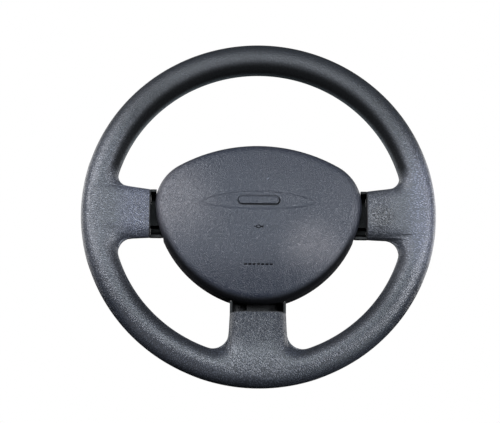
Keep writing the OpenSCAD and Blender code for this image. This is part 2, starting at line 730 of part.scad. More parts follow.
// The plastic socket for the squib's plug, half sunk in the inflator's rear
socket_d = 17;
socket_in = 6;
socket_out = 3;
module squib_socket() {
    color([0.85, 0.6, 0.12]) upright() difference() {
        translate([0, 0, inflator_z - socket_out]) cylinder(d = socket_d, h = socket_in + socket_out);
        translate([0, 0, inflator_z - socket_out - 1]) cylinder(d = 11, h = socket_in + 2.5);
        translate([-1.6, 0, inflator_z - socket_out - 1]) cube([3.2, 10, 5]);
    }
}

retainer_d = 88;
retainer_in_d = inflator_d + 3;
module cushion_retainer() {
    color([0.6, 0.6, 0.6]) upright() {
        tube(retainer_d, retainer_in_d, retainer_z, sheet_t);
        around(stud_dirs, stud_r) translate([0, 0, flange_z - 6])
            cylinder(d = stud_d, h = retainer_z - flange_z + 6 + sheet_t / 2);
    }
}

module retainer_nuts() {
    nut_h = 4;
    color([0.66, 0.64, 0.5]) upright() around(stud_dirs, stud_r) difference() {
        translate([0, 0, flange_z - nut_h]) cylinder(d = 11.5, h = nut_h, $fn = 6);
        translate([0, 0, flange_z - nut_h - 1]) cylinder(d = stud_d + hole_gap, h = nut_h + 2);
    }
}

// The folded bag, closed up in its pack, with its mouth clamped under the retainer
cushion_inset = tray_inset + sheet_t + 1.3;
module cushion_pack() {
    color([0.8, 0.8, 0.76]) upright() difference() {
        intersection() {
            translate([0, 0, tray_top]) linear_extrude(height = far)
                polygon(outline(cushion_inset));
            pad_form(pad_wall + 1, tray_top - 1);
        }
        translate([0, 0, tray_top - 1])
            cylinder(d = inflator_d + 2, h = inflator_top - tray_top + 2, $fn = 96);
        translate([0, 0, retainer_z - mould_gap]) cylinder(d = retainer_d + 2 * mould_gap,
            h = sheet_t + 2 * mould_gap, $fn = 96);
        around(stud_dirs, stud_r) translate([0, 0, tray_top - 1])
            cylinder(d = stud_d + hole_gap, h = cloth_t + 2);
    }
}

// Rivets that hold the cover's inner wall to the tray's edge
rivet_dirs = [-75, -30, 20, 75, 105, 160, 210, 255];
rivet_z = tray_top + tray_edge / 2;
rivet_d = 4;
inner_wall_t = 2.7;
inner_wall_inset = tray_inset - inner_wall_t - 0.3;
module rivet_at(a) {
    p = outline_at(a, inner_wall_inset);
    translate([p[0], p[1], rivet_z]) rotate([0, 0, a]) rotate([0, 90, 0]) children();
}
module rivet_hole(a) {
    rivet_at(a) translate([0, 0, -8]) cylinder(d = rivet_d + hole_gap, h = 14);
}
module cover_rivets() {
    // Room for the curve of the tray's edge under the flat inner heads
    curve_room = 0.3;
    grip = inner_wall_t + 0.3 + sheet_t + curve_room;
    color([0.7, 0.71, 0.72]) upright() for (a = rivet_dirs) rivet_at(a) {
        cylinder(d = 8, h = 1.2);
        translate([0, 0, -grip]) cylinder(d = rivet_d, h = grip);
        translate([0, 0, -grip - 0.8]) cylinder(d = 6, h = 0.8);
    }
}

// A lens between two arcs, l long and h high, about the origin
module lens(l, h) {
    r = (l ^ 2 / 4 + h ^ 2 / 4) / h;
    intersection() {
        translate([0, h / 2 - r]) circle(r = r, $fn = 180);
        translate([0, r - h / 2]) circle(r = r, $fn = 180);
    }
}
module bar_shape(l, h) {
    for (s = [-1, 1]) translate([s * (l - h) / 2, 0]) circle(d = h);
    square([l - h, h], center = true);
}

seam_w = 1;
seam_skin = 1.2;
module notch(a) {
    hw = (a == 270 ? bottom_w : side_h) / 2 + 2.5;
    rotate([0, 0, a]) translate([edge_of(a) - far / 3, -hw, skirt_z - 1])
        cube([far, 2 * hw, notch_z - skirt_z + 1]);
}
module pad_cover() {
    color([0.27, 0.29, 0.33]) upright() difference() {
        union() {
            difference() {
                pad_form(0, skirt_z);
                pad_form(pad_wall, skirt_z - 1);
            }
            intersection() {
                translate([0, 0, tray_top + 1]) linear_extrude(height = far) difference() {
                    polygon(outline(inner_wall_inset));
                    polygon(outline(inner_wall_inset + inner_wall_t));
                }
                pad_form(1, tray_top);
            }
        }
        for (a = spoke_dirs) notch(a);
        for (a = rivet_dirs) rivet_hole(a);
        difference() {
            translate([0, recess_y, pad_z]) linear_extrude(height = far) lens(recess_l, recess_h);
            pad_form(recess_depth, skirt_z);
            translate([0, recess_y, pad_z]) linear_extrude(height = far) bar_shape(bar_l, bar_h);
        }
        intersection() {
            pad_form(seam_skin, skirt_z);
            translate([0, 0, pad_z]) linear_extrude(height = far) tear_seam();
        }
    }
}

// The weak line inside the cover: across the middle and along both ends
module tear_seam() {
    across = 120;
    end = 50;
    translate([0, -8]) {
        square([across, seam_w], center = true);
        for (s = [-1, 1]) translate([s * across / 2, 0]) square([seam_w, end], center = true);
    }
}

rim_grip();
rim_core();
armature();
hub_insert();
rear_shroud();
shroud_screws();
guide_screws();
horn_springs();
fixed_contacts();
horn_plate();
guide_bushes();
moving_contacts();
horn_terminal();
module_bolts();
weld_nuts();
module_tray();
inflator();
squib_socket();
cushion_retainer();
retainer_nuts();
cushion_pack();
pad_cover();
cover_rivets();
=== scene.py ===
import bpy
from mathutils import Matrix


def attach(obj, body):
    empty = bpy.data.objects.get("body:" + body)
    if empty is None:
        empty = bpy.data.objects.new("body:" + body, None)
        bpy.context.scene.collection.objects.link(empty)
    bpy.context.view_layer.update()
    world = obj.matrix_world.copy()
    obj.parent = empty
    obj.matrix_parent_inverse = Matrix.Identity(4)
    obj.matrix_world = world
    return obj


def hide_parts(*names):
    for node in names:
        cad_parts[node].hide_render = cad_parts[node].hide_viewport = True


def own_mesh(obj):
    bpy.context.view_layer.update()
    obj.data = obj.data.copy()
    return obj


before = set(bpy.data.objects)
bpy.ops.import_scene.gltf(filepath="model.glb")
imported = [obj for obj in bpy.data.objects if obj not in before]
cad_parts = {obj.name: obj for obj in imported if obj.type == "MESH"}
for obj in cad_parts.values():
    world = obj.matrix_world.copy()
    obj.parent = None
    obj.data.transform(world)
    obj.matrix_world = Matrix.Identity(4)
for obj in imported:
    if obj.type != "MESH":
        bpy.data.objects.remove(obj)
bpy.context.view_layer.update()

import math

import bmesh
import bpy
from mathutils import Matrix, Vector

# Pieces are drawn flat in millimetres, x right, y up, z towards the driver, as the CAD is,
# and this turns them upright and into metres
UPRIGHT = Matrix.Rotation(math.radians(90), 4, "X") @ Matrix.Scale(0.001, 4)

# The pad's outline: four tangent arcs, each with its centre, radius, the direction in which
# it ends and how many steps it is spun in, from the bottom round the right side to the top
PAD_ARCS = [
    ((0, -4.17), 92.01, -66, 8),
    ((-11.79, 22.31), 121, -10.5, 20),
    ((59, 9.19), 49, 60, 24),
    ((0, -93), 167, 90, 14),
]
PAD_MID = Vector((0, -8))
PAD_EDGE_Z = 72
PAD_ROUND = 12
PAD_ROUND_END = math.radians(78)
PAD_ROUND_STEPS = 12
PAD_FACE_STEPS = 12
PAD_CROWN = 8
PAD_WALL = 3
EDGE_ROUND = 0.4
SKIRT_Z = 54
# The skirt's notch over each spoke, below a level: the way the spoke points and half the width
NOTCH_Z = 68
NOTCHES = [(0, 26.15), (180, 26.15), (270, 28.85)]
# The way each spoke points, and how far from the wheel's axis its foam is cut off
FOAM_ENDS = [(0, 113), (180, 113), (270, 106)]
FOAM_END_SHIFT = 0.12
# The channel in the foam: its reach round the cast ring, and an arm's half width and far end
CHANNEL_R, CHANNEL_HALF, CHANNEL_END = 9, 12, 177.6
# An arm's lower and upper face: level, rise towards the eye, where this starts and stops
ARM_FACES = [(58.2, 8.2, 12, 144.5), (64.4, 19.2, 8, 148.5)]
INNER_WALL_INSET = 22.35
INNER_WALL_T = 2.7
INNER_WALL_LEVELS = (61.5, NOTCH_Z, 84)
RECESS_Y = 10.3
RECESS_LENGTH, RECESS_HEIGHT, RECESS_DEPTH = 117, 19, 0.8
RECESS_TAPER = 0.3
RECESS_SAG = 1.7
RECESS_TIP_GROWTH = 1.3
RECESS_STEPS = 132
BAR_LENGTH, BAR_HEIGHT = 42, 8
# Rings over the recess's edge and over the bar: growth of the outline, and depth in the face
LENS_RINGS = [(2.0, 0), (0.5, 0.1), (-0.5, RECESS_DEPTH - 0.1), (-1.8, RECESS_DEPTH)]
BAR_RINGS = [(1.6, RECESS_DEPTH), (1.2, RECESS_DEPTH + 0.1), (0.9, RECESS_DEPTH + 0.6),
    (0.4, RECESS_DEPTH + 0.7), (0.0, RECESS_DEPTH + 0.2), (-0.25, -0.25), (-0.7, -0.45),
    (-2.4, -0.5)]
HORN_SIGN_Y = -18.4
DASHES_Y = -57.7
DASHES_START, DASHES_PITCH, DASHES_COUNT = -13.2, 4.4, 7
DASH_LENGTH, DASH_HEIGHT = 3.1, 1.7
MARK_RISE, MARK_T = 0.06, 0.3
RIM_RING_R = 168.65
RIM_PLANE_Z = 75
# The folded bag: its foot, inset, and folds, each fold's edge as shares of its height and insets
BAG_FOOT_Z = 60.8
BAG_INSET = 27.4
FOLDS, FOLD_PITCH = 4, 4.3
FOLD_EDGE = [(0.12, 0.9), (0.35, 0.1), (0.65, 0.1), (0.88, 0.9), (1, 1.9)]
BAG_TOP = [(4.0, 1.2), (10.0, 2.2), (20.0, 3.0), (32.0, 3.4)]

# These are in metres: places on the surfaces with their reach, floor and camera
# The first places are the pad's two pools of painted light
PAD_LIGHT_POOLS = [((-0.088, -0.08, 0.012), 0.058), ((0.056, -0.08, -0.040), 0.046)]
WORN_AT, WORN_REACH = (0.128, -0.083, -0.006), 0.020
SCUFF_AT = (0.0093, 0, 0.034)
FLOOR_Z = -0.75
CAMERA_AWAY = 2.22

# The camera's angles in degrees, its lens in millimetres and its shift
CAMERA_SIDE, CAMERA_UP, CAMERA_ROLL = -0.88, -15.52, 0.4
CAMERA_LENS = 153.4
CAMERA_SHIFT = (-0.0172, 0.0039)


# Camera

def place_camera():
    """The camera stands 15.5 degrees below the wheel's axis, as the photograph's did."""
    data = bpy.data.cameras.new("camera")
    data.lens = CAMERA_LENS
    data.shift_x, data.shift_y = CAMERA_SHIFT
    data.clip_end = 60
    camera = bpy.data.objects.new("camera", data)
    bpy.context.collection.objects.link(camera)
    side, up = math.radians(CAMERA_SIDE), math.radians(CAMERA_UP)
    back = Vector((math.sin(side) * math.cos(up), -math.cos(side) * math.cos(up), math.sin(up)))
    camera.location = Vector((0, -RIM_PLANE_Z / 1000, 0)) + back * CAMERA_AWAY
    roll = Matrix.Rotation(math.radians(CAMERA_ROLL), 4, "Z").to_quaternion()
    camera.rotation_mode = "QUATERNION"
    camera.rotation_quaternion = (-back).to_track_quat("-Z", "Y") @ roll
    bpy.context.scene.camera = camera


# Making a piece out of a bmesh

def finished(bm, name, material, body, smooth_angle=35, upright=True):
    """Turns the bmesh upright, makes it an object and lets it ride."""
    if upright:
        bmesh.ops.transform(bm, matrix=UPRIGHT, verts=bm.verts)
    mesh = bpy.data.meshes.new(name)
    bm.to_mesh(mesh)
    bm.free()
    mesh.shade_smooth()
    mesh.set_sharp_from_angle(angle=math.radians(smooth_angle))
    mesh.materials.append(material)
    piece = bpy.data.objects.new(name, mesh)
    bpy.context.collection.objects.link(piece)
    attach(piece, body)
    return piece


def add_wall(piece, thickness, offset=-1):
    """Makes a sheet solid, inwards from the drawn side, or to both sides with an offset of 0."""
    wall = piece.modifiers.new("wall", "SOLIDIFY")
    wall.thickness = thickness / 1000
    wall.offset = offset


def add_edge_rounding(piece):
    rounding = piece.modifiers.new("edge rounding", "BEVEL")
    rounding.width = EDGE_ROUND / 1000
    rounding.segments = 2
    rounding.limit_method = "ANGLE"
    rounding.angle_limit = math.radians(40)


def spin_on(bm, vert, centre, angle, steps, shift=(0, 0, 0)):
    """Draws an arc, or a straight run of shifts, onwards from a vertex, and gives the last."""
    made = bmesh.ops.spin(bm, geom=[vert], cent=(*centre, vert.co.z), axis=(0, 0, 1),
        dvec=shift, angle=angle, steps=steps, use_merge=False, use_duplicate=False)
    return [v for v in made["geom_last"] if isinstance(v, bmesh.types.BMVert)][0]


def edges_since(bm, before):
    return [e for e in bm.edges if e not in before]


def pad_ring(bm, inset, z):
    """The pad's outline moved inwards, at a level: a right half and its mirror image."""
    before = set(bm.edges)
    start = PAD_ARCS[0][0][1] - (PAD_ARCS[0][1] - inset)
    first = last = bm.verts.new((0, start, z))
    facing = -90
    for centre, _, until, steps in PAD_ARCS:
        last = spin_on(bm, last, centre, math.radians(until - facing), steps)
        facing = until
    last.co.x = 0
    half = edges_since(bm, before)
    made = bmesh.ops.mirror(bm, geom=list({v for e in half for v in e.verts}) + half,
        matrix=Matrix(), merge_dist=-1, axis="X")
    ends = [v for v in made["geom"] if isinstance(v, bmesh.types.BMVert) and abs(v.co.x) < 1e-3]
    for end in ends:
        kept = min((first, last), key=lambda v: (v.co - end.co).length)
        bmesh.ops.pointmerge(bm, verts=[kept, end], merge_co=kept.co)
    return edges_since(bm, before)


def pad_reach(way, inset):
    """How far the outline, moved inwards, lies from the pad's middle in a direction."""
    way = Vector((abs(way.x), way.y)).normalized()
    facing = -90
    for centre, radius, until, _ in PAD_ARCS:
        off = PAD_MID - Vector(centre)
        along = off.dot(way)
        reach = -along + math.sqrt(max(along ** 2 - off.length_squared + (radius - inset) ** 2, 0))
        at = PAD_MID + way * reach - Vector(centre)
        angle = math.degrees(math.atan2(at.y, at.x))
        if facing - 0.01 <= angle <= until + 0.01:
            return reach
        facing = until
    return reach


def pad_height(x, y):
    """Level of the pad's crowned face above a place on it."""
    off = Vector((x, y)) - PAD_MID
    edge = PAD_EDGE_Z + PAD_ROUND * math.sin(PAD_ROUND_END)
    if off.length < 1e-6:
        return edge + PAD_CROWN
    share = off.length / pad_reach(off, PAD_ROUND * (1 - math.cos(PAD_ROUND_END)))
    return edge + PAD_CROWN * (1 - min(share, 1) ** 2)


def lens_ring(bm, grow):
    """The recess's outline, grown by a distance: a long oval whose tips taper and hang."""
    before = set(bm.edges)
    for v in bmesh.ops.create_circle(bm, segments=RECESS_STEPS, radius=1)["verts"]:
        across, up = v.co.x, v.co.y
        v.co.x = across * (RECESS_LENGTH / 2 + RECESS_TIP_GROWTH * grow)
        v.co.y = up * abs(up) ** RECESS_TAPER * (RECESS_HEIGHT / 2 + grow) \
            + RECESS_Y - RECESS_SAG * across ** 2
    return edges_since(bm, before)


def bar_ring(bm, grow):
    """The blank bar's outline with round ends, grown by a distance."""
    end_r = BAR_HEIGHT / 2 + grow
    straight = BAR_LENGTH / 2 - BAR_HEIGHT / 2
    before = set(bm.edges)
    first = vert = bm.verts.new((straight + end_r, RECESS_Y, 0))
    for side, quarter, run in ((1, 12, 44), (-1, 10, 44)):
        vert = spin_on(bm, vert, (side * straight, RECESS_Y), math.pi / 2, quarter)
        vert = spin_on(bm, vert, (0, 0), 0, run, (-2 * side * straight / run, 0, 0))
        vert = spin_on(bm, vert, (-side * straight, RECESS_Y), math.pi / 2, quarter)
    bmesh.ops.pointmerge(bm, verts=[first, vert], merge_co=first.co)
    return edges_since(bm, before)


def bridge(bm, outer, inner, cuts=0):
    """Skins two rings, with more rings between them if asked, and gives the new vertices."""
    made = bmesh.ops.bridge_loops(bm, edges=outer + inner)
    if not cuts:
        return []
    rungs = [e for e in made["edges"] if e not in set(outer + inner)]
    cut = bmesh.ops.subdivide_edges(bm, edges=rungs, cuts=cuts, use_grid_fill=True)
    return [g for g in cut["geom_inner"] if isinstance(g, bmesh.types.BMVert)]


def bridge_in_turn(bm, rings):
    for outer, inner in zip(rings, rings[1:]):
        bridge(bm, outer, inner)


def lift(edges_or_verts, drop=0.0):
    """Sets vertices on the pad's face, or below it by a distance."""
    verts = set()
    for item in edges_or_verts:
        verts.update(item.verts if isinstance(item, bmesh.types.BMEdge) else [item])
    for v in verts:
        v.co.z = pad_height(v.co.x, v.co.y) - drop


# Soft skins

def make_pad_skin(material):
    """The cover: skirt, rounding, crowned face, lens recess, groove and blank bar."""
    bm = bmesh.new()
    rings = [pad_ring(bm, 0, SKIRT_Z), pad_ring(bm, 0, NOTCH_Z)]
    for k in range(PAD_ROUND_STEPS + 1):
        a = PAD_ROUND_END * k / PAD_ROUND_STEPS
        rings.append(pad_ring(bm, PAD_ROUND * (1 - math.cos(a)),
            PAD_EDGE_Z + PAD_ROUND * math.sin(a)))
    bridge_in_turn(bm, rings)
    lens = [lens_ring(bm, grow) for grow, _ in LENS_RINGS]
    lift(bridge(bm, rings[-1], lens[0], cuts=PAD_FACE_STEPS))
    for ring, (_, drop) in zip(lens, LENS_RINGS):
        lift(ring, drop)
    bridge_in_turn(bm, lens)
    bar_rings = [bar_ring(bm, grow) for grow, _ in BAR_RINGS]
    lift(bridge(bm, lens[-1], bar_rings[0], cuts=3), RECESS_DEPTH)
    for ring, (_, drop) in zip(bar_rings, BAR_RINGS):
        lift(ring, drop)
    bridge_in_turn(bm, bar_rings)
    bmesh.ops.contextual_create(bm, geom=bar_rings[-1])
    cut_notches(bm)
    bmesh.ops.remove_doubles(bm, verts=bm.verts, dist=0.01)
    bmesh.ops.recalc_face_normals(bm, faces=bm.faces)
    piece = finished(bm, "pad_skin", material, "airbag_module", 50)
    add_wall(piece, PAD_WALL)
    add_edge_rounding(piece)
    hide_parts("pad_cover")
    return piece


def cut_notches(bm):
    """Opens the skirt below the level of the notches where a spoke passes."""
    for facing, half in NOTCHES:
        along = Vector((1, 0, 0)) if facing == 270 else Vector((0, 1, 0))
        for side in (-half, half):
            low = [f for f in bm.faces if f.calc_center_median().z < NOTCH_Z]
            geom = low + list({e for f in low for e in f.edges})
            geom += list({v for f in low for v in f.verts})
            bmesh.ops.bisect_plane(bm, geom=geom, dist=1e-3, plane_co=along * side, plane_no=along)
    gone = []
    for f in bm.faces:
        mid = f.calc_center_median()
        if mid.z < NOTCH_Z:
            places = {0: (mid.x, mid.y), 180: (-mid.x, mid.y), 270: (-mid.y, mid.x)}
            if any(places[facing][0] > 60 and abs(places[facing][1]) < half
                    for facing, half in NOTCHES):
                gone.append(f)
    bmesh.ops.delete(bm, geom=gone, context="FACES")


def make_inner_wall(material):
    """The cover's inner wall, which the rivets hold to the tray's upturned edge."""
    bm = bmesh.new()
    bridge_in_turn(bm, [pad_ring(bm, INNER_WALL_INSET, z) for z in INNER_WALL_LEVELS])
    cut_notches(bm)
    bmesh.ops.recalc_face_normals(bm, faces=bm.faces)
    piece = finished(bm, "pad_inner_wall", material, "airbag_module", 50)
    add_wall(piece, INNER_WALL_T, 0)
    add_edge_rounding(piece)
    return piece


def merged_copy(node, reach):
    """A CAD node's mesh where it stands, with its doubled vertices merged."""
    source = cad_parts[node]
    bm = bmesh.new()
    bm.from_mesh(source.data)
    bmesh.ops.transform(bm, matrix=source.matrix_world, verts=bm.verts)
    bmesh.ops.remove_doubles(bm, verts=bm.verts, dist=reach)
    return bm


def make_springs(material):
    """The horn springs: the CAD coils made into a piece of their own that rides with the wheel."""
    bm = merged_copy("horn_springs", 1e-6)
    bmesh.ops.recalc_face_normals(bm, faces=bm.faces)
    piece = finished(bm, "springs", material, "wheel", 60, upright=False)
    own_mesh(piece)
    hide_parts("horn_springs")
    return piece


def make_rim_skin(material):
    """The foam moulding's own skin: the CAD mesh merged, its channels closed, and smoothed."""
    bm = merged_copy("rim_grip", 1e-5)
    bmesh.ops.delete(bm, geom=[f for f in bm.faces if in_channel(f)], context="FACES")
    open_edges = [e for e in bm.edges if e.is_boundary]
    bmesh.ops.holes_fill(bm, edges=open_edges, sides=0)
    bmesh.ops.dissolve_limit(bm, angle_limit=math.radians(0.05), verts=bm.verts,
        edges=bm.edges, delimit={"NORMAL"})
    bmesh.ops.triangulate(bm, faces=[f for f in bm.faces if len(f.verts) > 4])
    bmesh.ops.join_triangles(bm, faces=bm.faces, angle_face_threshold=math.radians(50),
        angle_shape_threshold=math.radians(70))
    bmesh.ops.recalc_face_normals(bm, faces=bm.faces)
    close_foam_ends(bm)
    crease = bm.edges.layers.float.new("crease_edge")
    for edge in bm.edges:
        if edge.calc_face_angle(0) > math.radians(50):
            edge[crease] = 0.8
    piece = finished(bm, "rim_skin", material, "wheel", 60, upright=False)
    smooth = piece.modifiers.new("smooth", "SUBSURF")
    smooth.levels = smooth.render_levels = 2
    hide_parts("rim_grip")
    return piece


def spoke_place(point, facing):
    """A point in metres as millimetres along and across a spoke."""
    a = math.radians(facing)
    return (1000 * (point.x * math.cos(a) + point.z * math.sin(a)),
        1000 * (point.z * math.cos(a) - point.x * math.sin(a)))


def close_foam_ends(bm):
    """Brings the foam's cut ends flat and close up to the shroud's troughs."""
    for facing, start in FOAM_ENDS:
        a = math.radians(facing)
        way = Vector((math.cos(a), 0, math.sin(a)))
        for v in bm.verts:
            out, across = spoke_place(v.co, facing)
            if start - 1 < out < start + 1.1 and abs(across) < 40:
                v.co += way * (start - FOAM_END_SHIFT - out) / 1000


def in_channel(face):
    """True for a face inside the foam, along the cast ring or one of its arms."""
    mid = face.calc_center_median() * 1000
    depth, spread = -mid.y, math.hypot(mid.x, mid.z)
    if math.hypot(spread - RIM_RING_R, depth - RIM_PLANE_Z) < CHANNEL_R:
        return True
    for facing, start in FOAM_ENDS:
        out, across = spoke_place(mid / 1000, facing)
        # The arm grows thicker from its bar to the eye that is cast round the ring
        low, high = (level + rise * min(max((out - start - wait) / (until - start), 0), 1)
            for level, rise, wait, until in ARM_FACES)
        in_arm = start + 0.5 < out < CHANNEL_END and low - 0.4 < depth < high + 0.4
        if in_arm and abs(across) < CHANNEL_HALF:
            return True
    return False


# Shader nodes

def node_group(name, inputs, outputs):
    """A shader group with the named sockets: the group, its wires, inputs and outputs."""
    group = bpy.data.node_groups.new(name, "ShaderNodeTree")
    kinds = {"f": "NodeSocketFloat", "v": "NodeSocketVector", "c": "NodeSocketColor"}
    for socket, kind, value in inputs:
        made = group.interface.new_socket(socket, in_out="INPUT", socket_type=kinds[kind])
        if value is not None:
            made.default_value = value
    for socket, kind in outputs:
        group.interface.new_socket(socket, in_out="OUTPUT", socket_type=kinds[kind])
    inside = group.nodes.new("NodeGroupInput").outputs
    return group, Wires(group), inside, group.nodes.new("NodeGroupOutput").inputs


class Wires:
    """Adds nodes to a tree and joins them: a value sets a socket, a socket links to it."""

    def __init__(self, tree):
        self.tree = tree

    def add(self, kind, settings=None, **inputs):
        node = self.tree.nodes.new("ShaderNode" + kind)
        for key, value in (settings or {}).items():
            setattr(node, key, value)
        for key, value in inputs.items():
            key = key.replace("_", " ")
            socket = node.inputs[int(key[1:])] if key[0] == "i" and key[1:].isdigit() \
                else node.inputs[key]
            self.put(socket, value)
        return node

    def put(self, socket, value):
        if isinstance(value, bpy.types.NodeSocket):
            self.tree.links.new(value, socket)
        else:
            socket.default_value = value

    def math(self, operation, a, b=0.0):
        return self.add("Math", {"operation": operation}, i0=a, i1=b).outputs[0]

    def vector(self, operation, a, b=(0, 0, 0)):
        return self.add("VectorMath", {"operation": operation}, i0=a, i1=b).outputs[0]

    def length(self, a):
        return self.add("VectorMath", {"operation": "LENGTH"}, i0=a).outputs["Value"]

    def hypot(self, a, b):
        return self.math("SQRT", self.math("ADD", self.math("MULTIPLY", a, a),
            self.math("MULTIPLY", b, b)))

    def places(self, place):
        """The three coordinates of a place, and how far it lies from the wheel's axis."""
        x, depth, z = self.add("SeparateXYZ", Vector=place).outputs
        flat = self.add("CombineXYZ", X=x, Z=z).outputs[0]
        return x, depth, z, self.length(flat)

    def scaled(self, a, factor):
        node = self.add("VectorMath", {"operation": "SCALE"}, i0=a)
        self.put(node.inputs["Scale"], factor)
        return node.outputs[0]

    def ramp(self, value, low, high, to_low=0.0, to_high=1.0):
        node = self.add("MapRange", {"interpolation_type": "SMOOTHSTEP"}, Value=value)
        for key, number in (("From Min", low), ("From Max", high), ("To Min", to_low),
                ("To Max", to_high)):
            self.put(node.inputs[key], number)
        return node.outputs[0]

    def mix(self, factor, a, b):
        node = self.add("Mix", {"data_type": "RGBA"}, i0=factor)
        self.put(node.inputs[6], a)
        self.put(node.inputs[7], b)
        return node.outputs[2]

    def mix_values(self, factor, a, b):
        node = self.add("Mix", {"data_type": "FLOAT"}, i0=factor)
        self.put(node.inputs[2], a)
        self.put(node.inputs[3], b)
        return node.outputs[0]

    def group(self, group, **inputs):
        return self.add("Group", {"node_tree": group}, **inputs).outputs


def shaded(name, colour, roughness, metallic=0.0):
    """A new material with its Principled shader, wires and Object coordinates."""
    material = bpy.data.materials.new(name)
    material.use_nodes = True
    material.diffuse_color = colour
    tree = material.node_tree
    shader = tree.nodes["Principled BSDF"]
    shader.inputs["Base Color"].default_value = colour
    shader.inputs["Roughness"].default_value = roughness
    shader.inputs["Metallic"].default_value = metallic
    wires = Wires(tree)
    place = tree.nodes.new("ShaderNodeTexCoord").outputs["Object"]
    return material, shader, wires, place


def bumped(wires, shader, height, depth):
    bump = wires.add("Bump", Distance=depth, Height=height)
    wires.put(shader.inputs["Normal"], bump.outputs[0])


def colour(red, green, blue):
    """A colour as it is seen, 0 to 255, for a shader's socket."""
    def linear(c):
        c /= 255
        return c / 12.92 if c <= 0.04045 else ((c + 0.055) / 1.055) ** 2.4
    return (linear(red), linear(green), linear(blue), 1)


def leather_grain_group():
    """Creased grain: uneven cells with creases between them, where height and crease are 0."""
    group, w, io, out = node_group("leather_grain", [("Vector", "v", None),
        ("Cells per metre", "f", 500.0), ("Waviness", "f", 0.5)],
        [("Height", "f"), ("Crease", "f")])
    wave = w.add("TexNoise", Vector=w.scaled(io["Vector"], io["Cells per metre"]), Scale=0.35,
        Detail=1.0)
    shift = w.scaled(w.vector("SUBTRACT", wave.outputs["Color"], (0.5, 0.5, 0.5)),
        io["Waviness"])
    at = w.vector("ADD", w.scaled(io["Vector"], io["Cells per metre"]), shift)
    cells = w.add("TexVoronoi", {"feature": "DISTANCE_TO_EDGE"}, Vector=at, Scale=1.0)
    crease = w.ramp(cells.outputs["Distance"], 0.0, 0.32)
    fine = w.add("TexNoise", Vector=at, Scale=1.6, Detail=2.0)
    height = w.math("MULTIPLY", crease, w.math("ADD", fine.outputs[0], 0.45))
    w.put(out["Height"], height)
    w.put(out["Crease"], crease)
    return group


def handled_group():
    """Broad patches where hands have polished or dulled a surface, 0 to 1."""
    group, w, io, out = node_group("handled_patches", [("Vector", "v", None),
        ("Patch per metre", "f", 18.0)], [("Patch", "f"), ("Mottle", "f")])
    broad = w.add("TexNoise", Vector=io["Vector"], Scale=io["Patch per metre"], Detail=2.0)
    fine = w.add("TexNoise", Vector=io["Vector"], Scale=w.math("MULTIPLY",
        io["Patch per metre"], 22.0), Detail=3.0)
    w.put(out["Patch"], w.ramp(broad.outputs[0], 0.35, 0.65))
    w.put(out["Mottle"], fine.outputs[0])
    return group


def moulded_group():
    """The fine sparked texture of moulded plastic."""
    group, w, io, out = node_group("moulded_texture", [("Vector", "v", None),
        ("Grains per metre", "f", 900.0)], [("Height", "f"), ("Mottle", "f")])
    grains = w.add("TexVoronoi", {"feature": "SMOOTH_F1"}, Vector=io["Vector"],
        Scale=io["Grains per metre"], Smoothness=0.6)
    noise = w.add("TexNoise", Vector=io["Vector"], Scale=w.math("MULTIPLY",
        io["Grains per metre"], 0.5), Detail=3.0)
    w.put(out["Height"], w.math("ADD", w.math("MULTIPLY", grains.outputs["Distance"], -0.6),
        noise.outputs[0]))
    w.put(out["Mottle"], noise.outputs[0])
    return group


def streak_group():
    """Fine turned or drawn lines round the wheel's axis on metal, with stains."""
    group, w, io, out = node_group("metal_streaks", [("Vector", "v", None),
        ("Lines per metre", "f", 2500.0)], [("Line", "f"), ("Stain", "f")])
    x, depth, z = w.add("SeparateXYZ", Vector=io["Vector"]).outputs
    ring = w.add("CombineXYZ", X=w.hypot(x, z), Y=depth).outputs[0]
    lines = w.add("TexNoise", Vector=ring, Scale=io["Lines per metre"], Detail=2.0)
    stain = w.add("TexNoise", Vector=io["Vector"], Scale=90.0, Detail=4.0)
    w.put(out["Line"], lines.outputs[0])
    w.put(out["Stain"], w.ramp(stain.outputs[0], 0.4, 0.62))
    return group


def gap_shade_group():
    """Painted shade in the gaps between pad and foam: a mask that is 1 where what lies below is
    painted black.
    """
    group, w, io, out = node_group("gap_shade", [("Vector", "v", None), ("Strength", "f", 1.0)],
        [("Mask", "f")])
    _, depth, _, spread = w.places(io["Vector"])
    w.put(out["Mask"], w.math("MULTIPLY", w.math("MULTIPLY", w.ramp(spread, 0.086, 0.092),
        w.ramp(depth, -0.040, -0.050)), io["Strength"]))
    return group


def painted_crease_shade_group():
    """Paints shade into the creases of a grain: darkens a colour there."""
    group, w, io, out = node_group("painted_crease_shade", [("Colour", "c", None),
        ("Crease", "f", 1.0), ("Amount", "f", 0.5), ("Dark", "c", None)], [("Colour", "c")])
    deep = w.math("MULTIPLY", w.math("SUBTRACT", 1.0, io["Crease"]), io["Amount"])
    w.put(out["Colour"], w.mix(deep, io["Colour"], io["Dark"]))
    return group


def painted_shade_side_group():
    """Painted shade: where the mask is 1 the colour is dark and hardly shines."""
    group, w, io, out = node_group("painted_shade_side", [("Colour", "c", None), ("Mask", "f", 0.0),
        ("Dark", "c", None), ("Darkening", "f", 0.9), ("Dulling", "f", 0.7)],
        [("Colour", "c"), ("Metallic", "f")])
    w.put(out["Colour"], w.mix(w.math("MULTIPLY", io["Mask"], io["Darkening"]), io["Colour"],
        io["Dark"]))
    w.put(out["Metallic"], w.math("MULTIPLY", io["Mask"], io["Dulling"]))
    return group


# The shader groups by short names, filled once the camera stands
GROUPS = {}


